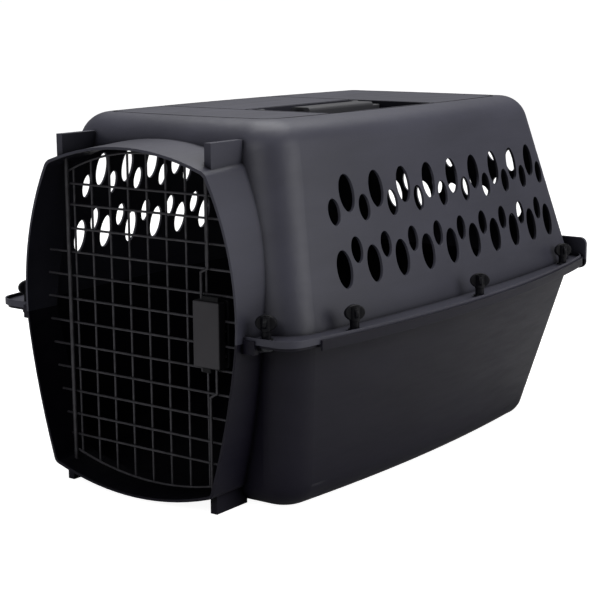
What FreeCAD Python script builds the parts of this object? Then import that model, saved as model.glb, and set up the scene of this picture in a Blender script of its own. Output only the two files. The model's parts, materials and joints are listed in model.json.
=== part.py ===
"""Pet transport carrier: two moulded half shells, a wire door with a squeeze latch,
a folding carry handle and eight wing-nut fasteners round the seam.

Frame: origin under the centre of the carrier on the floor plane, door towards -Y, +Z up.
Units are millimetres.
"""
import FreeCAD
import Part
import math
import os

V = FreeCAD.Vector

# ---------------------------------------------------------------- driving dimensions
WALL = 3.0                 # moulded wall thickness
SEAM_Z = 173.0             # joint plane between the shells
ROOF_Z = 371.0             # top of the raised roof panels
ROOF_WALL = 4.5            # roof thickness, enough for the panel grooves
ROOF_ROUND = 33.0          # rounding between walls and roof
BASE_ROUND = 26.0          # rounding between walls and base

# horizontal cabin sections: half width, front y, rear y, side bow, front and rear corner radii
SEAM_SECTION = (188.0, -275.0, 300.0, 18.0, 38.0, 26.0)
ROOF_SECTION = (142.0, -249.0, 252.0, 15.0, 44.0, 34.0)
BASE_SECTION = (169.0, -261.0, 205.0, 14.0, 36.0, 34.0)
END_BOW = 6.0              # forward and rearward bulge of the end walls

# front cowl, a barrel-shaped tunnel round the doorway
COWL_FRONT = -309.0
COWL_BACK = -236.0
COWL_WALL = 2.5
COWL_WAIST = 137.6         # half width at the seam
COWL_TOP = 346.5
COWL_BOTTOM = 2.5
COWL_UPPER_CORNER = 102.5  # half width at the upper corners
COWL_LOWER_CORNER = 104.5  # half width at the lower corners
COWL_CORNER_TOP = 328.0
COWL_CORNER_BOTTOM = 20.0
COWL_TOP_ROUND = 13.0
COWL_BOTTOM_ROUND = 8.0
COWL_RISE = 4.5            # climb of the cowl top from its front edge to the cabin

# rod ears at the four cowl corners; the lower pair are the front feet
EAR_IN = 91.5
EAR_OUT = 99.4
EAR_FRONT = -296.0
EAR_BACK = -250.0
EAR_TOP = 354.0
EAR_FOOT_TOP = 24.0

# seam flange
FLANGE_T = 3.0
FLANGE_LIP = 2.0           # outer lip of the lower flange
FLANGE_LIP_BOTTOM = 167.0
FLANGE_LIP_TOP = 176.6
FLANGE_STEP = 2.2          # the upper flange sits inside the lip
FLANGE_RIM = 1.5           # raised rim of the upper flange
FLANGE_RIM_TOP = 179.4
FLANGE_LUG_BOTTOM = 163.5
FLANGE_LUG_X = 151.0       # half width of the front lug
FLANGE_GAP_Y = -261.0      # the corner gap in the lower flange ends here
FLANGE_GAP_DEPTH = 5.0
FLANGE_FRONT = -301.0
FLANGE_REAR = 309.0
FLANGE_SIDE = ((199.0, -262.0), (217.5, 0.0), (186.0, 282.0))
FLANGE_FRONT_ROUND = 24.0
FLANGE_REAR_ROUND = 30.0

# seam fasteners, right-hand side; the left-hand side mirrors them
BOLT_XY = ((156.0, -289.0), (195.0, -204.0), (205.5, 10.0), (184.0, 238.0))
BOLT_R = 3.0
BOLT_HOLE_R = 3.3
BOLT_HEAD_R = 6.5
BOLT_HEAD_T = 3.5
BOLT_TOP = 187.5
BOSS_R = 8.0
BOSS_TOP = 176.5
WASHER_R = 6.4
WASHER_T = 1.4
NUT_BORE_R = 3.06
NUT_BORE_TOP = 188.5
NUT_NECK_R = 4.6
NUT_NECK_H = 9.0
NUT_HUB_R = 5.2
NUT_TOP = 200.5
NUT_WING = (10.4, 7.8, 4.8)   # half width, half height, thickness
NUT_RIB = (7.4, 6.4, 4.2)
NUT_EDGE_ROUND = 1.2

# side vents: 19 columns on both sides, large and small ovals alternating
VENT_COLUMNS = 19
VENT_RIGHT_LARGE = (18.3, 11.4)   # half height, half width
VENT_RIGHT_SMALL = (12.9, 8.6)
VENT_LEFT_LARGE = (17.8, 9.6)
VENT_LEFT_SMALL = (12.4, 7.2)
VENT_UPPER_LARGE_Z = 298.0
VENT_UPPER_SMALL_Z = 282.0
VENT_LOWER_LARGE_Z = 227.5
VENT_LOWER_SMALL_Z = 243.5
VENT_SIDES = (             # side, first column y, pitch, lift, large oval, small oval
    (1, -180.0, 23.1, 0.0, VENT_RIGHT_LARGE, VENT_RIGHT_SMALL),
    (-1, -207.5, 21.7, 8.0, VENT_LEFT_LARGE, VENT_LEFT_SMALL),
)

# rear wall vents: the same two rows, large oval low in the even columns
REAR_VENT_COLUMNS = 9
REAR_VENT_MID_X = 8.0
REAR_VENT_PITCH = 21.8
REAR_VENT_LARGE = (18.8, 10.8)     # half height, half width
REAR_VENT_SMALL = (13.0, 7.2)
REAR_VENT_LOWER_Z = 237.5
REAR_VENT_UPPER_Z = 290.0
REAR_VENT_STAGGER = 17.0           # odd columns sit this much higher

# roof panels and handle recess
PANEL_OUTLINE = (116.0, -222.0, 221.0, 10.0, 20.0, 20.0)
GROOVE_W = 3.5
GROOVE_D = 2.2
PANEL_SPLIT_FRONT = -124.0
PANEL_SPLIT_REAR = 68.0
PANEL_SPLIT_X = 0.0
RECESS_X = (4.0, 110.0)
RECESS_Y = (-120.0, 64.0)
RECESS_FLOOR = 358.5
RECESS_ROUND = 5.0

# folding handle, lying towards +X at rest
HANDLE_AXIS_X = 12.0
HANDLE_AXIS_Z = 364.8
HANDLE_GRIP_X = 44.0
HANDLE_HALF = 58.0         # half length of the hand grip
HANDLE_MID_Y = -28.0
HANDLE_GRIP_W = 25.0
HANDLE_GRIP_Z = (361.0, 372.5)
HANDLE_ARM_T = 6.0
HANDLE_ARM_W = 11.0
HANDLE_HUB_R = 6.0
HANDLE_END_GAP = 1.5
PIN_R = 2.5
PIN_BORE_R = 2.56

# wire door
WIRE_R = 1.2
DOOR_Y = -282.0            # centre plane of the vertical wires
RAIL_Y = DOOR_Y - 2 * WIRE_R
VERTICAL_X0 = -91.3
VERTICAL_PITCH = 24.44
VERTICAL_COUNT = 8
RAIL_Z0 = 66.9
RAIL_PITCH = 24.0
RAIL_COUNT = 10
RAIL_LOW_Z = 45.5
RAIL_HIGH_Z = 304.0
RAIL_END_GAP = 6.5         # gap between rail ends and the cowl wall
FRAME_TOP = ((-97.0, 316.0), (-5.0, 339.0), (84.0, 325.5))
FRAME_BOTTOM = ((-97.0, 29.5), (-5.0, 13.0), (84.0, 22.0))
HINGE_X = -95.5
HINGE_R = 2.1
HINGE_BORE_R = 2.18
HINGE_TOP = 337.0
HINGE_BOTTOM = 8.0

# squeeze latch on the free side of the door
COVER_X = (72.0, 104.5)
COVER_Z = (141.5, 206.0)
COVER_FRONT = -295.0
COVER_WALL = 1.8
COVER_ROUND = 2.0
BASE_PLATE_T = 2.2
ROD_R = 1.4
ROD_Y = -288.6
SOCKET_R = 2.2
UPPER_ROD = ((87.0, 326.5), (87.0, 236.0), (78.6, 232.0), (78.6, 136.5))
LOWER_ROD = ((96.0, 158.0), (96.0, 117.0), (88.0, 112.0), (88.0, 20.5))
TAB_GAP = 0.4
SPRING_X = 88.0
SPRING_Z = (162.0, 186.0)
SPRING_R = 2.4
SPRING_WIRE_R = 0.45
SPRING_TURNS = 8
LATCH_SCREW_R = 1.5
LATCH_SCREW_HEAD_R = 3.0
LATCH_SCREW_XZ = ((100.2, 152.5), (100.2, 176.5))

# rear standing tabs
REAR_TAB_X = (150.0, 183.0)
REAR_TAB_Y = (299.0, 303.0)
REAR_TAB_TOP = 199.0
REAR_TAB_BOTTOM = 162.0
REAR_TAB_ROUND = 8.0
REAR_LUG_X = (166.0, -177.0)
REAR_LUG_W = 11.0
REAR_LUG_Y = (251.0, 261.0)
REAR_LUG_BOTTOM = 161.5


# ---------------------------------------------------------------- helpers
def box(x0, x1, y0, y1, z0, z1):
    """Axis-aligned block from two opposite corners."""
    return Part.makeBox(x1 - x0, y1 - y0, z1 - z0, V(x0, y0, z0))


def rod(points, radius):
    """Round bar through a list of points, with ball joints at the bends."""
    pieces = []
    for start, end in zip(points[:-1], points[1:]):
        step = end - start
        pieces.append(Part.makeCylinder(radius, step.Length, start, step))
    for corner in points[1:-1]:
        pieces.append(Part.makeSphere(radius, corner))
    bar = pieces[0]
    if len(pieces) > 1:
        bar = bar.multiFuse(pieces[1:])
    return bar.removeSplitter()


def circle_meet(c1, r1, c2, r2, near):
    """Crossing point of two circles that lies closest to a given point."""
    gap = c2 - c1
    d = gap.Length
    along = (r1 * r1 - r2 * r2 + d * d) / (2 * d)
    height = math.sqrt(max(r1 * r1 - along * along, 0.0))
    unit = gap * (1.0 / d)
    normal = V(-unit.y, unit.x, 0)
    foot = c1 + unit * along
    options = [foot + normal * height, foot - normal * height]
    return min(options, key=lambda p: (p - near).Length)


def section_wire(half_w, front, rear, bow, r_front, r_rear, z, inset=0.0):
    """Closed outline with bowed sides, bulging ends and rounded corners."""
    w = half_w - inset
    y0 = front + inset
    y1 = rear - inset
    mid = (y0 + y1) / 2
    half_l = (y1 - y0) / 2
    r_side = (half_l ** 2 + bow ** 2) / (2 * bow)
    r_end = (w ** 2 + END_BOW ** 2) / (2 * END_BOW)
    side_c = V(w - r_side, mid, 0)
    corners = []
    for sign, edge_y, radius in ((-1, y0, r_front - inset), (1, y1, r_rear - inset)):
        end_c = V(0, edge_y - sign * r_end, 0)
        centre = circle_meet(side_c, r_side - radius, end_c, r_end - radius, V(w, edge_y, 0))
        on_side = side_c + (centre - side_c).normalize() * r_side
        on_end = end_c + (centre - end_c).normalize() * r_end
        middle = centre + ((on_side - centre) + (on_end - centre)).normalize() * radius
        corners.append((on_end, middle, on_side))
    (fe, fm, fs), (re, rm, rs) = corners

    def flip(p):
        return V(-p.x, p.y, 0)

    arcs = [
        (flip(fe), V(0, y0, 0), fe),
        (fe, fm, fs),
        (fs, V(w, mid, 0), rs),
        (rs, rm, re),
        (re, V(0, y1, 0), flip(re)),
        (flip(re), flip(rm), flip(rs)),
        (flip(rs), V(-w, mid, 0), flip(fs)),
        (flip(fs), flip(fm), flip(fe)),
    ]
    lift = V(0, 0, z)
    edges = [Part.Arc(a + lift, b + lift, c + lift).toShape() for a, b, c in arcs]
    return Part.Wire(edges)


def edges_at(shape, z):
    """Edges that lie wholly in one horizontal plane."""
    found = []
    for edge in shape.Edges:
        bb = edge.BoundBox
        if abs(bb.ZMin - z) < 1e-4 and abs(bb.ZMax - z) < 1e-4:
            found.append(edge)
    return found


def cabin_solid(end_section, end_z, rounding, inset):
    """Tapered half of the cabin from the seam to the roof or base plane."""
    start = section_wire(*SEAM_SECTION, SEAM_Z, inset)
    end = section_wire(*end_section, end_z, inset)
    solid = Part.makeLoft([start, end], True, True)
    return solid.makeFillet(rounding - inset, edges_at(solid, end_z))


def cowl_wire(inset, y):
    """Barrel-shaped doorway outline; its top climbs towards the cabin."""
    climb = COWL_RISE * (y - COWL_FRONT) / (COWL_BACK - COWL_FRONT)
    waist = (COWL_WAIST - inset, SEAM_Z)
    high = (COWL_UPPER_CORNER - inset, COWL_CORNER_TOP - inset + climb)
    low = (COWL_LOWER_CORNER - inset, COWL_CORNER_BOTTOM + inset)
    top = (0.0, COWL_TOP - inset + climb)
    bottom = (0.0, COWL_BOTTOM + inset)
    upper_mid = (132.5 - inset, 245.0)
    lower_mid = (125.5 - inset, 100.0)

    def left(point):
        return (-point[0], point[1])

    spans = [
        (left(high), top, high),
        (high, upper_mid, waist),
        (waist, lower_mid, low),
        (low, bottom, left(low)),
        (left(low), left(lower_mid), left(waist)),
        (left(waist), left(upper_mid), left(high)),
    ]
    return Part.Wire([Part.Arc(*[V(x, y, z) for x, z in span]).toShape() for span in spans])


def cowl_prism(inset, y0, y1):
    """Tunnel between two doorway outlines, corners rounded."""
    prism = Part.makeLoft([cowl_wire(inset, y0), cowl_wire(inset, y1)], True, True)
    for upper, radius in ((True, COWL_TOP_ROUND), (False, COWL_BOTTOM_ROUND)):
        corner_edges = []
        for edge in prism.Edges:
            bb = edge.BoundBox
            at_corner = bb.ZMin > 300 if upper else bb.ZMax < 60
            if bb.YLength > 1 and bb.XLength < 1 and at_corner:
                corner_edges.append(edge)
        prism = prism.makeFillet(radius - inset, corner_edges)
    return prism


def flange_wire(z, inset=0.0):
    """Outer outline of the seam flange."""
    (x0, y0), (xm, ym), (x1, y1) = FLANGE_SIDE
    side = Part.Arc(V(x0, y0, 0), V(xm, ym, 0), V(x1, y1, 0)).toShape().Curve
    centre = side.Center
    radius = side.Radius - inset
    front = FLANGE_FRONT + inset
    rear = FLANGE_REAR - inset
    points = []
    for y, corner_r, sign in ((front, FLANGE_FRONT_ROUND - inset, 1), (rear, FLANGE_REAR_ROUND - inset, -1)):
        cy = y + sign * corner_r
        cx = centre.x + math.sqrt((radius - corner_r) ** 2 - (cy - centre.y) ** 2)
        c = V(cx, cy, 0)
        on_side = centre + (c - centre).normalize() * radius
        on_end = V(cx, y, 0)
        mid = c + ((on_side - c) + (on_end - c)).normalize() * corner_r
        points.append((on_end, mid, on_side))
    (fe, fm, fs), (re, rm, rs) = points
    side_mid = V(centre.x + radius, centre.y, 0)
    right = [(fe, fm, fs), (fs, side_mid, rs), (rs, rm, re)]
    lift = V(0, 0, z)

    def flip(p):
        return V(-p.x, p.y, 0)

    edges = [Part.makeLine(flip(fe) + lift, fe + lift)]
    edges += [Part.Arc(a + lift, b + lift, c + lift).toShape() for a, b, c in right]
    edges.append(Part.makeLine(re + lift, flip(re) + lift))
    for a, b, c in reversed(right):
        edges.append(Part.Arc(flip(c) + lift, flip(b) + lift, flip(a) + lift).toShape())
    return Part.Wire(edges)


def flange_slab(z0, z1, inset=0.0):
    """Flange outline as a flat slab."""
    return Part.Face(flange_wire(z0, inset)).extrude(V(0, 0, z1 - z0))


def flange_ring(z0, z1, inset_out, inset_in):
    """Band that follows the flange outline between two insets."""
    return flange_slab(z0, z1, inset_out).cut(flange_slab(z0, z1, inset_in))


def flange_corner_gaps():
    """Edge strips missing from the lower flange at the two front corners."""
    z0, z1 = FLANGE_LIP_BOTTOM - 1, FLANGE_LIP_TOP + 1
    strip = flange_ring(z0, z1, -1.0, FLANGE_GAP_DEPTH)
    right = box(FLANGE_LUG_X, 300, -400, FLANGE_GAP_Y, z0, z1)
    left = box(-300, -FLANGE_LUG_X, -400, FLANGE_GAP_Y, z0, z1)
    return strip.common(Part.Compound([right, left]))


def both_sides(points):
    """Mirror a list of right-hand (x, y) points to the left."""
    return [(x, y) for x, y in points] + [(-x, y) for x, y in points]


def posts(radius, z0, z1):
    """One vertical cylinder at every seam fastener."""
    return [Part.makeCylinder(radius, z1 - z0, V(x, y, z0)) for x, y in both_sides(BOLT_XY)]


def ear_blocks(z0, z1):
    """Pair of ear blocks, one at each side of the cowl."""
    right = box(EAR_IN, EAR_OUT, EAR_FRONT, EAR_BACK, z0, z1)
    left = box(-EAR_OUT, -EAR_IN, EAR_FRONT, EAR_BACK, z0, z1)
    return [right, left]


def rod_bores():
    """Bores in the cowl for the hinge rod and the two latch rods."""
    bores = []
    hinge_y = hinge_rod_y()
    bores.append(Part.makeCylinder(HINGE_BORE_R, HINGE_TOP + 1 - 300, V(HINGE_X, hinge_y, 300)))
    bores.append(Part.makeCylinder(HINGE_BORE_R, 60 - HINGE_BOTTOM + 1, V(HINGE_X, hinge_y, HINGE_BOTTOM - 1)))
    bores.append(Part.makeCylinder(SOCKET_R, 40, V(UPPER_ROD[0][0], ROD_Y, 312)))
    bores.append(Part.makeCylinder(SOCKET_R, 40, V(LOWER_ROD[-1][0], ROD_Y, -4)))
    return bores


def hinge_rod_y():
    """The hinge rod lies against the front of the door rails."""
    return RAIL_Y - WIRE_R - HINGE_R


# ---------------------------------------------------------------- shells
def oval_prism(centre, across, half_h, half_w, through):
    """Upright oval at a point, half_w wide along `across`, extruded along `through`."""
    top = centre + V(0, 0, half_h)
    edge = centre + across * half_w
    oval = Part.Wire(Part.Ellipse(top, edge, centre).toShape())
    return Part.Face(oval).extrude(through)


def side_vent_cutters():
    """Alternating large and small vents on both sides."""
    tools = []
    for side, first_y, pitch, lift, large, small in VENT_SIDES:
        for i in range(VENT_COLUMNS):
            y = first_y + pitch * i
            if i % 2 == 0:
                pair = ((VENT_UPPER_SMALL_Z, small), (VENT_LOWER_LARGE_Z, large))
            else:
                pair = ((VENT_UPPER_LARGE_Z, large), (VENT_LOWER_SMALL_Z, small))
            for z, (half_h, half_w) in pair:
                centre = V(side * 100, y, z + lift)
                tools.append(oval_prism(centre, V(0, 1, 0), half_h, half_w, V(side * 130, 0, 0)))
    return tools


def rear_vent_cutters():
    """Two rows of alternating vents through the rear wall."""
    tools = []
    for i in range(REAR_VENT_COLUMNS):
        x = REAR_VENT_MID_X + REAR_VENT_PITCH * (i - REAR_VENT_COLUMNS // 2)
        if i % 2 == 0:
            lift, lower, upper = 0.0, REAR_VENT_LARGE, REAR_VENT_SMALL
        else:
            lift, lower, upper = REAR_VENT_STAGGER, REAR_VENT_SMALL, REAR_VENT_LARGE
        for z, (half_h, half_w) in ((REAR_VENT_LOWER_Z, lower), (REAR_VENT_UPPER_Z, upper)):
            centre = V(x, 240, z + lift)
            tools.append(oval_prism(centre, V(1, 0, 0), half_h, half_w, V(0, 80, 0)))
    return tools


def groove_cutters():
    """Shallow grooves that mark out the raised roof panels."""
    z0 = ROOF_Z - GROOVE_D
    outer = Part.Face(section_wire(*PANEL_OUTLINE, z0)).extrude(V(0, 0, 20))
    inner = Part.Face(section_wire(*PANEL_OUTLINE, z0, GROOVE_W)).extrude(V(0, 0, 20))
    ring = outer.cut(inner)
    half = GROOVE_W / 2
    cross = []
    for y in (PANEL_SPLIT_FRONT, PANEL_SPLIT_REAR):
        cross.append(box(-150, 150, y - half, y + half, z0, ROOF_Z + 5))
    x0, x1 = PANEL_SPLIT_X - half, PANEL_SPLIT_X + half
    split = box(x0, x1, PANEL_SPLIT_FRONT, PANEL_SPLIT_REAR, z0, ROOF_Z + 5)
    bars = cross[0].fuse([cross[1], split]).common(outer)
    return ring.fuse(bars)


def recess_block(grow, z0, z1):
    """Handle recess volume, grown outward for the tub that surrounds it."""
    block = box(RECESS_X[0] - grow, RECESS_X[1] + grow, RECESS_Y[0] - grow, RECESS_Y[1] + grow, z0, z1)
    upright = [e for e in block.Edges if e.BoundBox.ZLength > 1]
    return block.makeFillet(RECESS_ROUND + grow, upright)


def rear_tab(z0, z1, x0, rounded_z):
    """Upright plate on the rear flange with one rounded outer corner, and its mirror."""
    plate = box(x0, REAR_TAB_X[1], REAR_TAB_Y[0], REAR_TAB_Y[1], z0, z1)
    corner = []
    for edge in plate.Edges:
        bb = edge.BoundBox
        if bb.YLength > 1 and abs(bb.XMin - REAR_TAB_X[1]) < 0.01 and abs(bb.ZMin - rounded_z) < 0.01:
            corner.append(edge)
    plate = plate.makeFillet(REAR_TAB_ROUND, corner)
    return [plate, plate.mirror(V(0, 0, 0), V(1, 0, 0))]


def top_shell():
    """Upper half: cabin roof and walls, upper cowl, flange, ears and handle recess."""
    outer = cabin_solid(ROOF_SECTION, ROOF_Z, ROOF_ROUND, 0.0)
    above = box(-300, 300, -400, 400, SEAM_Z, 500)
    cowl = cowl_prism(0.0, COWL_FRONT, COWL_BACK).common(above)
    plate = flange_slab(SEAM_Z, SEAM_Z + FLANGE_T, FLANGE_STEP)
    rim = flange_ring(SEAM_Z, FLANGE_RIM_TOP, FLANGE_STEP, FLANGE_STEP + FLANGE_RIM)
    parts = [cowl, plate, rim]
    parts += posts(BOSS_R, SEAM_Z, BOSS_TOP)
    parts += ear_blocks(318, EAR_TOP)
    parts += rear_tab(SEAM_Z, REAR_TAB_TOP, REAR_TAB_X[0], REAR_TAB_TOP)
    body = outer.multiFuse(parts)
    inner = cabin_solid(ROOF_SECTION, ROOF_Z, ROOF_ROUND, WALL)
    inner = inner.common(box(-300, 300, -400, 400, SEAM_Z - 1, ROOF_Z - ROOF_WALL))
    body = body.cut(inner)
    body = body.cut(cowl_prism(COWL_WALL, COWL_FRONT - 1, COWL_BACK + 6).common(above))
    tub = recess_block(WALL, RECESS_FLOOR - WALL, ROOF_Z - 1)
    body = body.fuse(tub)
    body = body.cut(recess_block(0, RECESS_FLOOR, ROOF_Z + 10))
    body = body.cut(groove_cutters())
    body = body.cut(side_vent_cutters() + rear_vent_cutters())
    body = body.cut(Part.Compound(posts(BOLT_HOLE_R, SEAM_Z - 5, BOSS_TOP + 5)))
    body = body.cut(Part.Compound(rod_bores()))
    body = body.cut(pin_cylinder(RECESS_Y[0] - WALL - 1, RECESS_Y[1] + WALL + 1))
    return body.removeSplitter()


def bottom_shell():
    """Lower half: cabin base and walls, lower cowl, flange with lip, feet."""
    outer = cabin_solid(BASE_SECTION, 0.0, BASE_ROUND, 0.0)
    below = box(-300, 300, -400, 400, -50, SEAM_Z)
    cowl = cowl_prism(0.0, COWL_FRONT, COWL_BACK).common(below)
    plate = flange_slab(SEAM_Z - FLANGE_T, SEAM_Z)
    lip = flange_ring(FLANGE_LIP_BOTTOM, FLANGE_LIP_TOP, 0.0, FLANGE_LIP)
    lip = lip.cut(box(-COWL_WAIST - 0.4, COWL_WAIST + 0.4, -400, -290, SEAM_Z, 200))
    tab_slot = box(REAR_TAB_X[0], REAR_TAB_X[1] + 0.4, REAR_TAB_Y[0] - 0.4, REAR_TAB_Y[1] + 0.4, SEAM_Z, 200)
    lip = lip.cut([tab_slot, tab_slot.mirror(V(0, 0, 0), V(1, 0, 0))])
    lug = flange_slab(FLANGE_LUG_BOTTOM, SEAM_Z)
    lug = lug.common(box(-FLANGE_LUG_X, FLANGE_LUG_X, -400, -270, 0, SEAM_Z))
    lug = lug.cut(Part.Compound(posts(BOLT_HEAD_R + 1.0, 0, SEAM_Z - FLANGE_T)))
    parts = [cowl, plate, lip, lug]
    for x0 in REAR_LUG_X:
        parts.append(box(x0, x0 + REAR_LUG_W, *REAR_LUG_Y, REAR_LUG_BOTTOM, SEAM_Z - FLANGE_T))
    parts += ear_blocks(0.0, EAR_FOOT_TOP)
    parts += rear_tab(REAR_TAB_BOTTOM, SEAM_Z, REAR_TAB_X[0] + 12, REAR_TAB_BOTTOM)
    body = outer.multiFuse(parts)
    inner = cabin_solid(BASE_SECTION, 0.0, BASE_ROUND, WALL)
    body = body.cut(inner.common(box(-300, 300, -400, 400, WALL, 300)))
    body = body.cut(cowl_prism(COWL_WALL, COWL_FRONT - 1, COWL_BACK + 6).common(below))
    body = body.cut(flange_corner_gaps())
    body = body.cut(Part.Compound(posts(BOLT_HOLE_R, SEAM_Z - 20, SEAM_Z + 5)))
    body = body.cut(Part.Compound(rod_bores()))
    return body.removeSplitter()


# ---------------------------------------------------------------- seam fasteners
def seam_bolts():
    """Round-headed bolts standing up through both flanges."""
    bolts = []
    under = SEAM_Z - FLANGE_T
    for x, y in both_sides(BOLT_XY):
        head = Part.makeCylinder(BOLT_HEAD_R, BOLT_HEAD_T, V(x, y, under - BOLT_HEAD_T))
        lower = edges_at(head, under - BOLT_HEAD_T)
        head = head.makeFillet(1.5, lower)
        shank = Part.makeCylinder(BOLT_R, BOLT_TOP - under, V(x, y, under))
        bolts.append(head.fuse(shank).removeSplitter())
    return Part.Compound(bolts)


def seam_washers():
    """Flat washers under the wing nuts."""
    discs = posts(WASHER_R, BOSS_TOP, BOSS_TOP + WASHER_T)
    holes = posts(BOLT_HOLE_R, BOSS_TOP - 1, BOSS_TOP + WASHER_T + 1)
    return Part.Compound([disc.cut(hole) for disc, hole in zip(discs, holes)])


def oval_plate(x, y, sizes, along_x):
    """Upright rounded thumb plate centred on the nut axis, its top at the nut top."""
    half_w, half_h, thick = sizes
    z = NUT_TOP - NUT_WING[1]
    reach = V(half_w, 0, 0) if along_x else V(0, half_w, 0)
    push = V(0, thick, 0) if along_x else V(thick, 0, 0)
    centre = V(x, y, z) - push * 0.5
    oval = Part.Wire(Part.Ellipse(centre + reach, centre + V(0, 0, half_h), centre).toShape())
    plate = Part.Face(oval).extrude(push)
    rims = [e for e in plate.Edges if e.isClosed()]
    return plate.makeFillet(NUT_EDGE_ROUND, rims)


def wing_nut(x, y, angle):
    """Moulded thumb nut: neck, hub, a wide rounded plate and a smaller cross plate."""
    z0 = BOSS_TOP + WASHER_T
    neck = Part.makeCylinder(NUT_NECK_R, NUT_NECK_H, V(x, y, z0))
    hub = Part.makeCylinder(NUT_HUB_R, NUT_TOP - 1.5 - z0 - NUT_NECK_H + 2, V(x, y, z0 + NUT_NECK_H - 2))
    nut = neck.multiFuse([hub, oval_plate(x, y, NUT_WING, True), oval_plate(x, y, NUT_RIB, False)])
    nut = nut.cut(Part.makeCylinder(NUT_BORE_R, NUT_BORE_TOP - z0 + 1, V(x, y, z0 - 1)))
    nut.rotate(V(x, y, 0), V(0, 0, 1), angle)
    return nut.removeSplitter()


# ---------------------------------------------------------------- carry handle
def pin_cylinder(y0, y1):
    """Cylinder on the handle axis."""
    return Part.makeCylinder(PIN_R, y1 - y0, V(HANDLE_AXIS_X, y0, HANDLE_AXIS_Z), V(0, 1, 0))


def handle():
    """U-shaped handle with a thick hand grip and two hubs."""
    reach_y0 = RECESS_Y[0] + HANDLE_END_GAP
    reach_y1 = RECESS_Y[1] - HANDLE_END_GAP
    z0 = HANDLE_AXIS_Z - HANDLE_ARM_T / 2
    z1 = HANDLE_AXIS_Z + HANDLE_ARM_T / 2
    outer_x = HANDLE_GRIP_X + HANDLE_ARM_W / 2
    frame = box(HANDLE_AXIS_X, outer_x, reach_y0, reach_y1, z0, z1)
    outer_edges = [e for e in frame.Edges if e.BoundBox.ZLength > 1 and e.BoundBox.XMin > outer_x - 1]
    frame = frame.makeFillet(14.0, outer_edges)
    hole = box(HANDLE_AXIS_X - 10, outer_x - HANDLE_ARM_W, reach_y0 + HANDLE_ARM_W, reach_y1 - HANDLE_ARM_W, z0, z1)
    inner_edges = [e for e in hole.Edges if e.BoundBox.ZLength > 1 and e.BoundBox.XMin > HANDLE_AXIS_X]
    frame = frame.cut(hole.makeFillet(6.0, inner_edges))
    grip_x0 = HANDLE_GRIP_X - HANDLE_GRIP_W / 2
    grip_x1 = HANDLE_GRIP_X + HANDLE_GRIP_W / 2
    grip_y0 = HANDLE_MID_Y - HANDLE_HALF
    grip_y1 = HANDLE_MID_Y + HANDLE_HALF
    grip = box(grip_x0, grip_x1, grip_y0, grip_y1, *HANDLE_GRIP_Z)
    long_edges = [e for e in grip.Edges if e.BoundBox.YLength > 20]
    grip = grip.makeFillet(3.5, long_edges)
    hubs = []
    for y0 in (reach_y0, reach_y1 - HANDLE_ARM_W):
        start = V(HANDLE_AXIS_X, y0, HANDLE_AXIS_Z)
        hubs.append(Part.makeCylinder(HANDLE_HUB_R, HANDLE_ARM_W, start, V(0, 1, 0)))
    body = frame.multiFuse([grip] + hubs)
    bore = Part.makeCylinder(PIN_BORE_R, 400, V(HANDLE_AXIS_X, HANDLE_MID_Y - 200, HANDLE_AXIS_Z), V(0, 1, 0))
    return body.cut(bore).removeSplitter()


def handle_pins():
    """Two steel pins through the recess end walls."""
    front = pin_cylinder(RECESS_Y[0] - WALL - 0.5, RECESS_Y[0] + HANDLE_END_GAP + HANDLE_ARM_W + 1)
    rear = pin_cylinder(RECESS_Y[1] - HANDLE_END_GAP - HANDLE_ARM_W - 1, RECESS_Y[1] + WALL + 0.5)
    return Part.Compound([front, rear])


# ---------------------------------------------------------------- door
def cowl_half_width(z):
    """Inside half width of the cowl at a height."""
    tunnel = Part.Face(cowl_wire(COWL_WALL, COWL_FRONT)).extrude(V(0, 4, 0))
    slab = tunnel.common(box(0, 300, COWL_FRONT, COWL_FRONT + 4, z - 0.5, z + 0.5))
    return slab.BoundBox.XMax


def arc_height(points, x):
    """Height of a three-point arc above x."""
    (x0, z0), (xm, zm), (x1, z1) = points
    curve = Part.Arc(V(x0, 0, z0), V(xm, 0, zm), V(x1, 0, z1)).toShape().Curve
    centre = curve.Center
    side = 1 if zm > centre.z else -1
    return centre.z + side * math.sqrt(curve.Radius ** 2 - (x - centre.x) ** 2)


def bent_wire(points, y):
    """Round wire bent to a three-point arc in a plane parallel to XZ."""
    (x0, z0), (xm, zm), (x1, z1) = points
    curve = Part.Arc(V(x0, y, z0), V(xm, y, zm), V(x1, y, z1))
    path = Part.Wire([curve.toShape()])
    tangent = curve.tangent(curve.FirstParameter)[0]
    profile = Part.Wire([Part.Circle(V(x0, y, z0), tangent, WIRE_R).toShape()])
    return path.makePipeShell([profile], True, False)


def door_rails():
    """Horizontal wires; the free ends follow the cowl outline past the hinge rod."""
    heights = [RAIL_LOW_Z] + [RAIL_Z0 + RAIL_PITCH * i for i in range(RAIL_COUNT)] + [RAIL_HIGH_Z]
    wires = []
    for z in heights:
        reach = cowl_half_width(z) - RAIL_END_GAP
        left = -reach
        if z > 250:
            left = HINGE_X - 4.0
        wires.append(Part.makeCylinder(WIRE_R, reach - left, V(left, RAIL_Y, z), V(1, 0, 0)))
    return Part.Compound(wires)


def door_uprights():
    """Vertical wires between the bent frame wires."""
    wires = []
    for i in range(VERTICAL_COUNT):
        x = VERTICAL_X0 + VERTICAL_PITCH * i
        low = arc_height(FRAME_BOTTOM, x) - 1.0
        high = arc_height(FRAME_TOP, x) + 1.0
        wires.append(Part.makeCylinder(WIRE_R, high - low, V(x, DOOR_Y, low)))
    return Part.Compound(wires)


def hinge_rod():
    """Thicker rod whose ends turn in the left-hand ears."""
    return Part.makeCylinder(HINGE_R, HINGE_TOP - HINGE_BOTTOM, V(HINGE_X, hinge_rod_y(), HINGE_BOTTOM))


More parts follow.
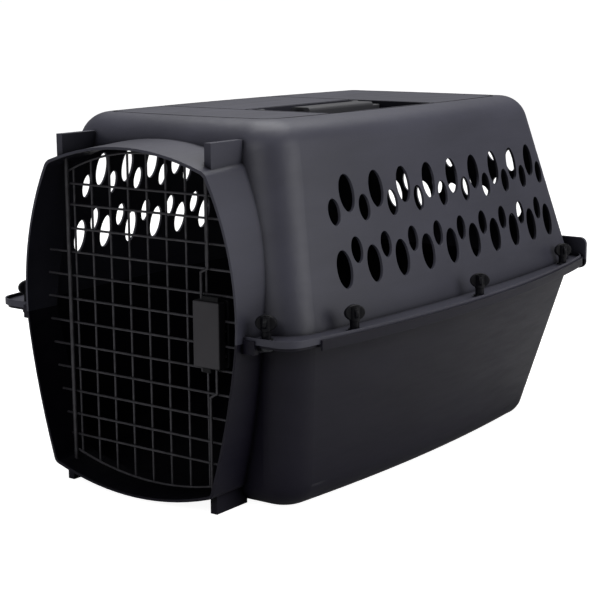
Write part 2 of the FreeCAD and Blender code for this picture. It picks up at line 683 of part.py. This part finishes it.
# ---------------------------------------------------------------- latch
def latch_cover():
    """Front cover of the latch, an open-backed box."""
    back = RAIL_Y - WIRE_R
    outer = box(COVER_X[0], COVER_X[1], COVER_FRONT, back, COVER_Z[0], COVER_Z[1])
    front_edges = [e for e in outer.Edges if e.BoundBox.YMax < COVER_FRONT + 0.01]
    upright = [e for e in outer.Edges if e.BoundBox.YLength > 1]
    outer = outer.makeFillet(COVER_ROUND, front_edges + upright)
    w = COVER_WALL
    cavity = box(COVER_X[0] + w, COVER_X[1] - w, COVER_FRONT + w, back, COVER_Z[0] + w, COVER_Z[1] - w)
    body = outer.cut(cavity)
    cutters = [upper_tab_block(TAB_GAP), lower_tab_block(TAB_GAP)]
    cutters.append(Part.makeCylinder(ROD_R + TAB_GAP, 30, V(UPPER_ROD[3][0], ROD_Y, COVER_Z[1] - 10)))
    cutters.append(Part.makeCylinder(ROD_R + TAB_GAP, 20, V(UPPER_ROD[3][0], ROD_Y, COVER_Z[0] - 10)))
    cutters.append(Part.makeCylinder(ROD_R + TAB_GAP, 30, V(LOWER_ROD[0][0], ROD_Y, COVER_Z[0] - 20)))
    body = body.cut(Part.Compound(cutters))
    posts_in = []
    for x, z in LATCH_SCREW_XZ:
        post = Part.makeCylinder(2.8, back - COVER_FRONT - w / 2, V(x, COVER_FRONT + w / 2, z), V(0, 1, 0))
        posts_in.append(post)
    body = body.multiFuse(posts_in)
    pilots = [Part.makeCylinder(LATCH_SCREW_R, 6.0, V(x, back - 6.0, z), V(0, 1, 0)) for x, z in LATCH_SCREW_XZ]
    return body.cut(Part.Compound(pilots)).removeSplitter()


def latch_base():
    """Back plate that clamps the door wires against the cover."""
    y0 = DOOR_Y + WIRE_R
    plate = box(COVER_X[0], COVER_X[1], y0, y0 + BASE_PLATE_T, COVER_Z[0], COVER_Z[1])
    corner = [e for e in plate.Edges if e.BoundBox.YLength > 1]
    plate = plate.makeFillet(COVER_ROUND, corner)
    holes = [Part.makeCylinder(LATCH_SCREW_R, 10, V(x, y0 - 1, z), V(0, 1, 0)) for x, z in LATCH_SCREW_XZ]
    return plate.cut(Part.Compound(holes))


def latch_screws():
    """Two screws through the back plate into the cover posts."""
    back = RAIL_Y - WIRE_R
    plate_back = DOOR_Y + WIRE_R + BASE_PLATE_T
    screws = []
    for x, z in LATCH_SCREW_XZ:
        shank = Part.makeCylinder(LATCH_SCREW_R, plate_back - back + 6.0, V(x, back - 6.0, z), V(0, 1, 0))
        head = Part.makeCylinder(LATCH_SCREW_HEAD_R, 1.6, V(x, plate_back, z), V(0, 1, 0))
        screws.append(shank.fuse(head).removeSplitter())
    return Part.Compound(screws)


def upper_tab_block(grow):
    """Slider of the upper rod, with a thumb tab above the cover."""
    y0 = COVER_FRONT + COVER_WALL + 0.4 - grow
    y1 = RAIL_Y - WIRE_R - 0.6
    body = box(75.4 - grow, 93.0 + grow, y0, y1, SPRING_Z[1], 196.0)
    tab = box(83.0 - grow, 102.0 + grow, y0, y1, 190.0, 210.5 + grow)
    return body.fuse(tab).removeSplitter()


def lower_tab_block(grow):
    """Slider of the lower rod, with a thumb tab below the cover."""
    y0 = COVER_FRONT + COVER_WALL + 0.4 - grow
    y1 = RAIL_Y - WIRE_R - 0.6
    body = box(82.0 - grow, 97.2 + grow, y0, y1, 150.0, SPRING_Z[0])
    tab = box(82.0 - grow, 92.0 + grow, y0, y1, 137.0 - grow, 152.0)
    return body.fuse(tab).removeSplitter()


def rod_line(points):
    """Latch rod points in the rod plane."""
    return [V(x, ROD_Y, z) for x, z in points]


def upper_latch_rod():
    """Cranked rod from the upper socket into the latch."""
    return rod(rod_line(UPPER_ROD), ROD_R)


def lower_latch_rod():
    """Cranked rod from the latch to the lower socket."""
    return rod(rod_line(LOWER_ROD), ROD_R)


def upper_finger_tab():
    """Upper slider gripped on its rod."""
    return upper_tab_block(0.0).cut(upper_latch_rod()).removeSplitter()


def lower_finger_tab():
    """Lower slider gripped on its rod."""
    return lower_tab_block(0.0).cut(lower_latch_rod()).removeSplitter()


def latch_spring():
    """Compression spring between the two sliders."""
    height = SPRING_Z[1] - SPRING_Z[0] - 2 * SPRING_WIRE_R
    pitch = height / SPRING_TURNS
    helix = Part.makeHelix(pitch, height, SPRING_R)
    start = V(SPRING_R, 0, 0)
    profile = Part.Wire([Part.Circle(start, V(0, 1, 0), SPRING_WIRE_R).toShape()])
    coil = Part.Wire(helix.Edges).makePipeShell([profile], True, True)
    coil.translate(V(SPRING_X, -289.4, SPRING_Z[0] + SPRING_WIRE_R))
    return coil


# ---------------------------------------------------------------- output
def build():
    """All sub-parts by node name."""
    nodes = {
        "top_shell": top_shell(),
        "bottom_shell": bottom_shell(),
        "seam_bolts": seam_bolts(),
        "seam_washers": seam_washers(),
        "handle": handle(),
        "handle_pins": handle_pins(),
        "door_uprights": door_uprights(),
        "door_rails": door_rails(),
        "door_frame_top": bent_wire(FRAME_TOP, RAIL_Y),
        "door_frame_bottom": bent_wire(FRAME_BOTTOM, RAIL_Y),
        "hinge_rod": hinge_rod(),
        "latch_cover": latch_cover(),
        "latch_base": latch_base(),
        "latch_screws": latch_screws(),
        "upper_latch_rod": upper_latch_rod(),
        "lower_latch_rod": lower_latch_rod(),
        "upper_finger_tab": upper_finger_tab(),
        "lower_finger_tab": lower_finger_tab(),
        "latch_spring": latch_spring(),
    }
    turns = (20, 60, 40, 55, 65, 15, 130, 95)
    names = ("r1", "r2", "r3", "r4", "l1", "l2", "l3", "l4")
    for name, (x, y), angle in zip(names, both_sides(BOLT_XY), turns):
        nodes["wing_nut_" + name] = wing_nut(x, y, angle)
    return nodes


os.makedirs("parts", exist_ok=True)
for node, shape in build().items():
    shape.exportStep("parts/" + node + ".step")
    print(node, len(shape.Solids), round(shape.Volume, 1), shape.isValid())
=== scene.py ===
import json
import math

import bmesh
import bpy
from mathutils import Matrix, Vector


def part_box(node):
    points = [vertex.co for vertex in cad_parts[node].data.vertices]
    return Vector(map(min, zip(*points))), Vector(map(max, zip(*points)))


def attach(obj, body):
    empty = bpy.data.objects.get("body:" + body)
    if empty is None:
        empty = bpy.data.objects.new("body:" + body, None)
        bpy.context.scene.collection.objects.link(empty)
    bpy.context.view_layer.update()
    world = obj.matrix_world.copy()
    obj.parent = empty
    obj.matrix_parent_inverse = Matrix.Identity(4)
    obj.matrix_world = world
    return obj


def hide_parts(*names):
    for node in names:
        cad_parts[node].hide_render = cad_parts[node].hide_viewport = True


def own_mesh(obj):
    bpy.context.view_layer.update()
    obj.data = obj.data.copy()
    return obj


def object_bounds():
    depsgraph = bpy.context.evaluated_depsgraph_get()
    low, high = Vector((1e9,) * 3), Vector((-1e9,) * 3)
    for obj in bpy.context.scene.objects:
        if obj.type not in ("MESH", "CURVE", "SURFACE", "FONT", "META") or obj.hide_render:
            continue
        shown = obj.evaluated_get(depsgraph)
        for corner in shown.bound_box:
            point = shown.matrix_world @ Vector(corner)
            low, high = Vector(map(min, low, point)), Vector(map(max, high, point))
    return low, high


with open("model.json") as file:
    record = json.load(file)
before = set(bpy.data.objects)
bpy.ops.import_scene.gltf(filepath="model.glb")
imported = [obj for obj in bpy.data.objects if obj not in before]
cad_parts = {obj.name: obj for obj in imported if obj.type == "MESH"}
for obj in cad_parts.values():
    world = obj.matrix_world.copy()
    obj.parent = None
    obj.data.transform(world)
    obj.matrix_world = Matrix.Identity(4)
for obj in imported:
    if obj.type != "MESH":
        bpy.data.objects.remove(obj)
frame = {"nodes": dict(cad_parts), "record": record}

cad_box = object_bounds()
NODES = frame["nodes"]
MM = 0.001

HEART = (0.0, 0.0, 0.19)         # middle of the cabin, which inside faces look at; those faces get painted shade
TAB_START_Y = 0.293              # the rear tabs stand behind this and count as outside
TAB_BLEND = 3 * MM               # half width of the change from the painted inside shade to the outside look

CAVITY_SHADE_REACH = 110 * MM          # how far the cabin's own walls paint shade on a face
CREVICE_SHADE_REACH = 6 * MM           # the same painted shade for grooves and corners
PLASTIC_EDGE = 0.9 * MM          # width of the worn, rounded look on plastic edges
STEEL_EDGE = 0.3 * MM
DEEPEST_PAINTED_SHADE = 0.12                   # share of the colour that is left under the darkest painted shade in a recess

SPRING_TURNS = 8
SPRING_WIRE_R = 0.45 * MM
RINGS_PER_TURN = 28
WIRE_SIDES = 12
END_TURN = 0.75                  # part of a turn that lies flat at each end
END_PITCH = 0.35                 # climb of that part, as a share of the open pitch

FLOOR_HALF = 40.0
FLOOR_DROP = 0.4 * MM            # keeps the floor clear of the base and the feet
FLOOR_ALBEDO = 0.55
FLOOR_GLOW = 0.93                # brightness of the floor to the camera only
SKY_LIGHT = 0.22                 # strength of the surround as a light
SKY_SEEN = 1.02                  # strength of the surround as the camera sees it

CAMERA_PLACE = (1.0024, -1.3639, 0.4802)
CAMERA_YAW, CAMERA_PITCH, CAMERA_ROLL = 36.92, 11.02, 0.39   # degrees
CAMERA_LENS = 91.97              # millimetres, as is the sensor width
CAMERA_SENSOR = 36.0

AREA_LIGHTS = (                  # name, place, size, power
    ("side", (2.1, 0.45, 0.95), 1.5, 22.0),
    ("top", (-0.2, 0.5, 2.3), 2.0, 54.0),
    ("front", (0.5, -2.8, 1.7), 1.2, 20.0),
)


# ------------------------------------------------------------------ node helpers
def new_material(name):
    """Empty node material with a Principled shader; returns (material, tree, shader)."""
    mat = bpy.data.materials.new(name)
    mat.use_nodes = True
    tree = mat.node_tree
    tree.nodes.clear()
    out = tree.nodes.new("ShaderNodeOutputMaterial")
    shader = tree.nodes.new("ShaderNodeBsdfPrincipled")
    tree.links.new(shader.outputs["BSDF"], out.inputs["Surface"])
    return mat, tree, shader


def noise(tree, coord, scale, detail=4.0, rough=0.5, stretch=None):
    """Noise texture in object coordinates (metres), optionally stretched."""
    node = tree.nodes.new("ShaderNodeTexNoise")
    node.inputs["Scale"].default_value = scale
    node.inputs["Detail"].default_value = detail
    node.inputs["Roughness"].default_value = rough
    source = coord
    if stretch is not None:
        mapping = tree.nodes.new("ShaderNodeMapping")
        mapping.inputs["Scale"].default_value = stretch
        tree.links.new(coord, mapping.inputs["Vector"])
        source = mapping.outputs["Vector"]
    tree.links.new(source, node.inputs["Vector"])
    return node.outputs["Fac"]


def ramp(tree, value, low, high, out_low=0.0, out_high=1.0):
    """Map a value range to another, clamped."""
    node = tree.nodes.new("ShaderNodeMapRange")
    node.inputs["From Min"].default_value = low
    node.inputs["From Max"].default_value = high
    node.inputs["To Min"].default_value = out_low
    node.inputs["To Max"].default_value = out_high
    tree.links.new(value, node.inputs["Value"])
    return node.outputs["Result"]


def drive(tree, socket, value, low, high, out_low, out_high):
    """Feed a socket with a value mapped to another range."""
    tree.links.new(ramp(tree, value, low, high, out_low, out_high), socket)


def mix_colour(tree, factor, a, b):
    """Mix two colours; a and b are tuples or sockets."""
    node = tree.nodes.new("ShaderNodeMix")
    node.data_type = "RGBA"
    tree.links.new(factor, node.inputs["Factor"])
    for key, value in (("A", a), ("B", b)):
        socket = [s for s in node.inputs if s.name == key and s.type == "RGBA"][0]
        if isinstance(value, tuple):
            socket.default_value = (*value, 1.0)
        else:
            tree.links.new(value, socket)
    return [s for s in node.outputs if s.type == "RGBA"][0]


def edge_mask(tree, radius):
    """1 along sharp edges, 0 on open faces, from the rounded-edge normal."""
    bevel = tree.nodes.new("ShaderNodeBevel")
    bevel.samples = 4
    bevel.inputs["Radius"].default_value = radius
    geometry = tree.nodes.new("ShaderNodeNewGeometry")
    dot = tree.nodes.new("ShaderNodeVectorMath")
    dot.operation = "DOT_PRODUCT"
    tree.links.new(bevel.outputs["Normal"], dot.inputs[0])
    tree.links.new(geometry.outputs["Normal"], dot.inputs[1])
    return bevel.outputs["Normal"], ramp(tree, dot.outputs["Value"], 0.97, 0.75)


def bump(tree, height, strength, distance, normal=None):
    """Bump node on a height socket."""
    node = tree.nodes.new("ShaderNodeBump")
    node.inputs["Strength"].default_value = strength
    node.inputs["Distance"].default_value = distance
    tree.links.new(height, node.inputs["Height"])
    if normal is not None:
        tree.links.new(normal, node.inputs["Normal"])
    return node.outputs["Normal"]


def painted_recess_shade(tree, reach, low, high):
    """Painted shade from ambient occlusion: 0 deep in a piece's own recesses and cavities, 1 in the
    open.
    """
    node = tree.nodes.new("ShaderNodeAmbientOcclusion")
    node.samples = 6
    node.only_local = True
    node.inputs["Distance"].default_value = reach
    return ramp(tree, node.outputs["AO"], low, high)


def inward_shade_mask(tree, coord):
    """Mask for painted shade: 1 on faces that look into the carrier, 0 on its outside and on the
    rear tabs.
    """
    away = tree.nodes.new("ShaderNodeVectorMath")
    away.operation = "SUBTRACT"
    away.inputs[1].default_value = HEART
    tree.links.new(coord, away.inputs[0])
    unit = tree.nodes.new("ShaderNodeVectorMath")
    unit.operation = "NORMALIZE"
    tree.links.new(away.outputs["Vector"], unit.inputs[0])
    geometry = tree.nodes.new("ShaderNodeNewGeometry")
    dot = tree.nodes.new("ShaderNodeVectorMath")
    dot.operation = "DOT_PRODUCT"
    tree.links.new(unit.outputs["Vector"], dot.inputs[0])
    tree.links.new(geometry.outputs["True Normal"], dot.inputs[1])
    parts = tree.nodes.new("ShaderNodeSeparateXYZ")
    tree.links.new(coord, parts.inputs[0])
    ahead_of_tabs = ramp(tree, parts.outputs["Y"], TAB_START_Y + TAB_BLEND, TAB_START_Y - TAB_BLEND)
    return product(tree, ramp(tree, dot.outputs["Value"], -0.12, -0.32), ahead_of_tabs)


def unshaded_front_mask(tree):
    """Mask that keeps the front faces free of painted side shade: 1 on faces that look forward (-Y)
    while the door is shut, 0 on all others.
    """
    coordinates = tree.nodes.new("ShaderNodeTexCoord")
    parts = tree.nodes.new("ShaderNodeSeparateXYZ")
    tree.links.new(coordinates.outputs["Normal"], parts.inputs[0])
    return ramp(tree, parts.outputs["Y"], -0.5, -0.85)


def product(tree, a, b):
    """Product of two value sockets."""
    node = tree.nodes.new("ShaderNodeMath")
    node.operation = "MULTIPLY"
    tree.links.new(a, node.inputs[0])
    tree.links.new(b, node.inputs[1])
    return node.outputs[0]


def scaled(tree, colour, factor, floor):
    """Colour multiplied by a factor that runs from floor to 1."""
    node = tree.nodes.new("ShaderNodeVectorMath")
    node.operation = "SCALE"
    tree.links.new(colour, node.inputs[0])
    tree.links.new(ramp(tree, factor, 0.0, 1.0, floor, 1.0), node.inputs["Scale"])
    return node.outputs["Vector"]


def object_coord(tree):
    """Coordinates in the row frame, in metres."""
    node = tree.nodes.new("ShaderNodeTexCoord")
    return node.outputs["Object"]


# ------------------------------------------------------------------ materials
def moulded_plastic(name, colour, roughness, grain_mm=0.9, grain=0.25, specular=0.4, wear=0.35,
                    inside_painted_shade=False, painted_side_shade=False):
    """Injection-moulded plastic: fine eroded grain, faint flow mottling, scuffs and pale worn edges.

    The two flags paint shade: the first on the faces that look into the cabin, the second on all but
    the front faces. Recesses and cavities always get painted shade, in colour and specular.
    """
    mat, tree, shader = new_material(name)
    coord = object_coord(tree)
    worn_normal, edges = edge_mask(tree, PLASTIC_EDGE)
    grain_fine = noise(tree, coord, 1.0 / (grain_mm * MM), 3.0, 0.6)
    flow = noise(tree, coord, 9.0, 3.0, 0.55, (1.0, 0.45, 1.6))
    scuff = noise(tree, coord, 55.0, 6.0, 0.7, (1.0, 0.3, 2.2))
    light = tuple(min(1.0, c * 1.16 + 0.0015) for c in colour)
    dark = tuple(c * 0.88 for c in colour)
    worn = tuple(min(1.0, c * 1.9 + 0.012) for c in colour)
    base = mix_colour(tree, ramp(tree, flow, 0.36, 0.64), dark, light)
    edge_amount = product(tree, edges, ramp(tree, scuff, 0.3, 0.65, wear * 0.4, wear))
    base = mix_colour(tree, edge_amount, base, worn)
    # painted shade in the piece's own cavities and grooves, from ambient occlusion
    cavity_shade = painted_recess_shade(tree, CAVITY_SHADE_REACH, 0.2, 0.8)
    painted_shade_scale = product(tree, cavity_shade, painted_recess_shade(tree, CREVICE_SHADE_REACH, 0.5, 0.92))
    if inside_painted_shade:
        # painted shade on the faces that look into the cabin, down to 0.2 of the colour
        painted_shade_scale = product(tree, painted_shade_scale, ramp(tree, inward_shade_mask(tree, coord), 0.0, 1.0, 1.0, 0.2))
    if painted_side_shade:
        # painted shade on all but the front faces, down to 0.15 of the colour
        painted_shade_scale = product(tree, painted_shade_scale, ramp(tree, unshaded_front_mask(tree), 0.0, 1.0, 0.15, 1.0))
    tree.links.new(scaled(tree, base, painted_shade_scale, DEEPEST_PAINTED_SHADE), shader.inputs["Base Color"])
    drive(tree, shader.inputs["Roughness"], scuff, 0.3, 0.72, roughness + 0.05, roughness - 0.05)
    # the painted shade also lowers the specular in recesses
    drive(tree, shader.inputs["Specular IOR Level"], painted_shade_scale, 0.0, 1.0, specular * 0.15, specular)
    normal = bump(tree, grain_fine, grain, 0.12 * MM, worn_normal)
    normal = bump(tree, flow, 0.08, 1.5 * MM, normal)
    tree.links.new(normal, shader.inputs["Normal"])
    return mat


def coated_wire(name, colour, roughness):
    """Dark dip-coated wire: soft sheen, thin patches and small pimples."""
    mat, tree, shader = new_material(name)
    coord = object_coord(tree)
    patch = noise(tree, coord, 120.0, 4.0, 0.6)
    pimple = noise(tree, coord, 900.0, 2.0, 0.5)
    bright = tuple(min(1.0, c * 1.5 + 0.01) for c in colour)
    base = mix_colour(tree, ramp(tree, patch, 0.4, 0.68), colour, bright)
    tree.links.new(base, shader.inputs["Base Color"])
    drive(tree, shader.inputs["Roughness"], patch, 0.3, 0.7, roughness - 0.06, roughness + 0.08)
    shader.inputs["Metallic"].default_value = 0.55
    shader.inputs["Coat Weight"].default_value = 0.25
    shader.inputs["Coat Roughness"].default_value = 0.3
    tree.links.new(bump(tree, pimple, 0.18, 0.08 * MM), shader.inputs["Normal"])
    return mat


def plated_steel(name, colour, roughness, brush=(1.0, 1.0, 14.0)):
    """Bright or darkened steel with a drawn or rolled brush direction."""
    mat, tree, shader = new_material(name)
    coord = object_coord(tree)
    lines = noise(tree, coord, 260.0, 4.0, 0.6, brush)
    spangle = noise(tree, coord, 420.0, 2.0, 0.5)
    dull = tuple(c * 0.78 for c in colour)
    base = mix_colour(tree, ramp(tree, spangle, 0.35, 0.65), dull, colour)
    worn_normal, _ = edge_mask(tree, STEEL_EDGE)
    tree.links.new(base, shader.inputs["Base Color"])
    drive(tree, shader.inputs["Roughness"], lines, 0.3, 0.7, roughness - 0.08, roughness + 0.1)
    shader.inputs["Metallic"].default_value = 1.0
    tree.links.new(bump(tree, lines, 0.12, 0.05 * MM, worn_normal), shader.inputs["Normal"])
    return mat


MATERIALS = {
    "shell_grey": moulded_plastic(
        "shell_grey_looks", (0.036, 0.036, 0.052), 0.46, inside_painted_shade=True),
    "shell_black": moulded_plastic(
        "shell_black_looks", (0.0048, 0.0040, 0.0100), 0.46, specular=0.2, inside_painted_shade=True),
    "handle_grey": moulded_plastic(
        "handle_grey_looks", (0.036, 0.036, 0.041), 0.46, grain_mm=0.7),
    "nut_black": moulded_plastic(
        "nut_black_looks", (0.0022, 0.0022, 0.004), 0.42, 0.6, 0.12, specular=0.16, wear=0.05),
    "latch_grey": moulded_plastic(
        "latch_grey_looks", (0.027, 0.0255, 0.030), 0.5, grain_mm=0.6, painted_side_shade=True),
    "latch_black": moulded_plastic(
        "latch_black_looks", (0.003, 0.003, 0.004), 0.5, grain_mm=0.6, specular=0.15),
    "door_wire": coated_wire("door_wire_looks", (0.033, 0.032, 0.038), 0.42),
    "rod_steel": coated_wire("rod_steel_looks", (0.029, 0.028, 0.033), 0.38),
    "bolt_zinc": plated_steel("bolt_zinc_looks", (0.045, 0.046, 0.05), 0.4),
    "washer_zinc": plated_steel("washer_zinc_looks", (0.05, 0.05, 0.055), 0.42, (6.0, 6.0, 1.0)),
    "pin_steel": plated_steel("pin_steel_looks", (0.50, 0.50, 0.52), 0.3),
    "screw_steel": plated_steel("screw_steel_looks", (0.50, 0.50, 0.52), 0.34),
    "spring_steel": plated_steel("spring_steel_looks", (0.55, 0.55, 0.57), 0.28),
}


def assign_cad_materials():
    """Give every carried-over CAD node the detailed material of its record slot."""
    slots = {s["node"]: s["material_slot"] for s in frame["record"]["subparts"]}
    for node, obj in NODES.items():
        obj.data.materials.clear()
        obj.data.materials.append(MATERIALS[slots[node]])


# ------------------------------------------------------------------ latch spring
def spring_height(turn):
    """Share of the height reached after a number of turns; the end turns lie almost flat."""
    flat = END_PITCH * END_TURN / SPRING_TURNS
    if turn < END_TURN:
        return flat * turn / END_TURN
    if turn > SPRING_TURNS - END_TURN:
        return 1.0 - flat * (SPRING_TURNS - turn) / END_TURN
    return flat + (1.0 - 2.0 * flat) * (turn - END_TURN) / (SPRING_TURNS - 2.0 * END_TURN)


def wire_ring(mesh, centre, outward):
    """One cross-section of the spring wire, as new vertices."""
    ring = []
    for k in range(WIRE_SIDES):
        side = 2 * math.pi * k / WIRE_SIDES
        offset = outward * math.cos(side) + Vector((0, 0, math.sin(side)))
        ring.append(mesh.verts.new(centre + offset * SPRING_WIRE_R))
    return ring


def coil_mesh(low, high):
    """Closed, swept coil that fills the box between two corners."""
    axis = (low + high) / 2
    coil_r = (high.x - low.x) / 2 - SPRING_WIRE_R
    bottom = low.z + SPRING_WIRE_R
    rise = high.z - low.z - 2 * SPRING_WIRE_R
    mesh = bmesh.new()
    rings = []
    for i in range(SPRING_TURNS * RINGS_PER_TURN + 1):
        turn = i / RINGS_PER_TURN
        angle = 2 * math.pi * turn
        outward = Vector((math.cos(angle), math.sin(angle), 0.0))
        centre = Vector((axis.x, axis.y, bottom + rise * spring_height(turn)))
        rings.append(wire_ring(mesh, centre + outward * coil_r, outward))
    for near, far in zip(rings, rings[1:]):
        for k in range(WIRE_SIDES):
            nxt = (k + 1) % WIRE_SIDES
            mesh.faces.new((near[k], near[nxt], far[nxt], far[k]))
    mesh.faces.new(rings[0][::-1])
    mesh.faces.new(rings[-1])
    bmesh.ops.recalc_face_normals(mesh, faces=mesh.faces)
    data = bpy.data.meshes.new("latch_coil")
    mesh.to_mesh(data)
    mesh.free()
    for face in data.polygons:
        face.use_smooth = len(face.vertices) == 4
    return data


def coil_spring():
    """Latch spring that closes up between the two sliders."""
    low, high = (Vector(corner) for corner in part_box("latch_spring"))
    data = coil_mesh(low, high)
    data.materials.append(MATERIALS["spring_steel"])
    spring = bpy.data.objects.new("latch_coil", data)
    bpy.context.scene.collection.objects.link(spring)
    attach(spring, "door")
    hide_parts("latch_spring")
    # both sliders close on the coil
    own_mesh(spring)


# ------------------------------------------------------------------ stage, light and camera
def add_floor():
    """Plain pale floor; bright to the camera, with a soft contact shadow."""
    mesh = bpy.data.meshes.new("floor")
    half = FLOOR_HALF
    corners = [(-half, -half, 0), (half, -half, 0), (half, half, 0), (-half, half, 0)]
    mesh.from_pydata(corners, [], [(0, 1, 2, 3)])
    floor = bpy.data.objects.new("floor", mesh)
    bpy.context.scene.collection.objects.link(floor)
    floor.location.z = -FLOOR_DROP
    mat, tree, shader = new_material("floor_looks")
    shader.inputs["Base Color"].default_value = (FLOOR_ALBEDO, FLOOR_ALBEDO, FLOOR_ALBEDO, 1)
    shader.inputs["Roughness"].default_value = 0.9
    shader.inputs["Specular IOR Level"].default_value = 0.1
    path = tree.nodes.new("ShaderNodeLightPath")
    seen = path.outputs["Is Camera Ray"]
    shader.inputs["Emission Color"].default_value = (1, 1, 1, 1)
    drive(tree, shader.inputs["Emission Strength"], seen, 0.0, 1.0, 0.0, FLOOR_GLOW)
    mesh.materials.append(mat)


def add_world():
    """White studio surround: white to the camera, softer as a light source."""
    world = bpy.data.worlds.new("studio")
    bpy.context.scene.world = world
    world.use_nodes = True
    tree = world.node_tree
    background = tree.nodes["Background"]
    background.inputs["Color"].default_value = (1, 1, 1, 1)
    path = tree.nodes.new("ShaderNodeLightPath")
    seen = path.outputs["Is Camera Ray"]
    drive(tree, background.inputs["Strength"], seen, 0.0, 1.0, SKY_LIGHT, SKY_SEEN)


def add_area(name, place, target, size, power):
    """Soft square light aimed at a point."""
    data = bpy.data.lights.new(name, "AREA")
    data.shape = "SQUARE"
    data.size = size
    data.energy = power
    light = bpy.data.objects.new(name, data)
    bpy.context.scene.collection.objects.link(light)
    light.location = place
    light.rotation_mode = "QUATERNION"
    light.rotation_quaternion = (Vector(target) - Vector(place)).to_track_quat("-Z", "Y")


def add_camera():
    """Camera at the photograph's angle, built from its yaw, pitch and roll."""
    yaw, pitch, roll = (math.radians(a) for a in (CAMERA_YAW, CAMERA_PITCH, CAMERA_ROLL))
    flat = math.cos(pitch)
    back = Vector((math.sin(yaw) * flat, -math.cos(yaw) * flat, math.sin(pitch)))
    level = Vector((math.cos(yaw), math.sin(yaw), 0.0))
    upright = back.cross(level)
    right = math.cos(roll) * level - math.sin(roll) * upright
    up = math.sin(roll) * level + math.cos(roll) * upright
    data = bpy.data.cameras.new("camera")
    data.sensor_width = CAMERA_SENSOR
    data.lens = CAMERA_LENS
    data.clip_start = 0.05
    data.clip_end = 50.0
    camera = bpy.data.objects.new("camera", data)
    bpy.context.scene.collection.objects.link(camera)
    rotation = Matrix((right, up, back)).transposed().to_4x4()
    camera.matrix_world = Matrix.Translation(Vector(CAMERA_PLACE)) @ rotation
    bpy.context.scene.camera = camera


assign_cad_materials()
coil_spring()
add_floor()
add_world()
for light_name, light_place, light_size, light_power in AREA_LIGHTS:
    add_area(light_name, light_place, (cad_box[0] + cad_box[1]) / 2, light_size, light_power)
add_camera()
bpy.context.scene.view_settings.view_transform = "Standard"
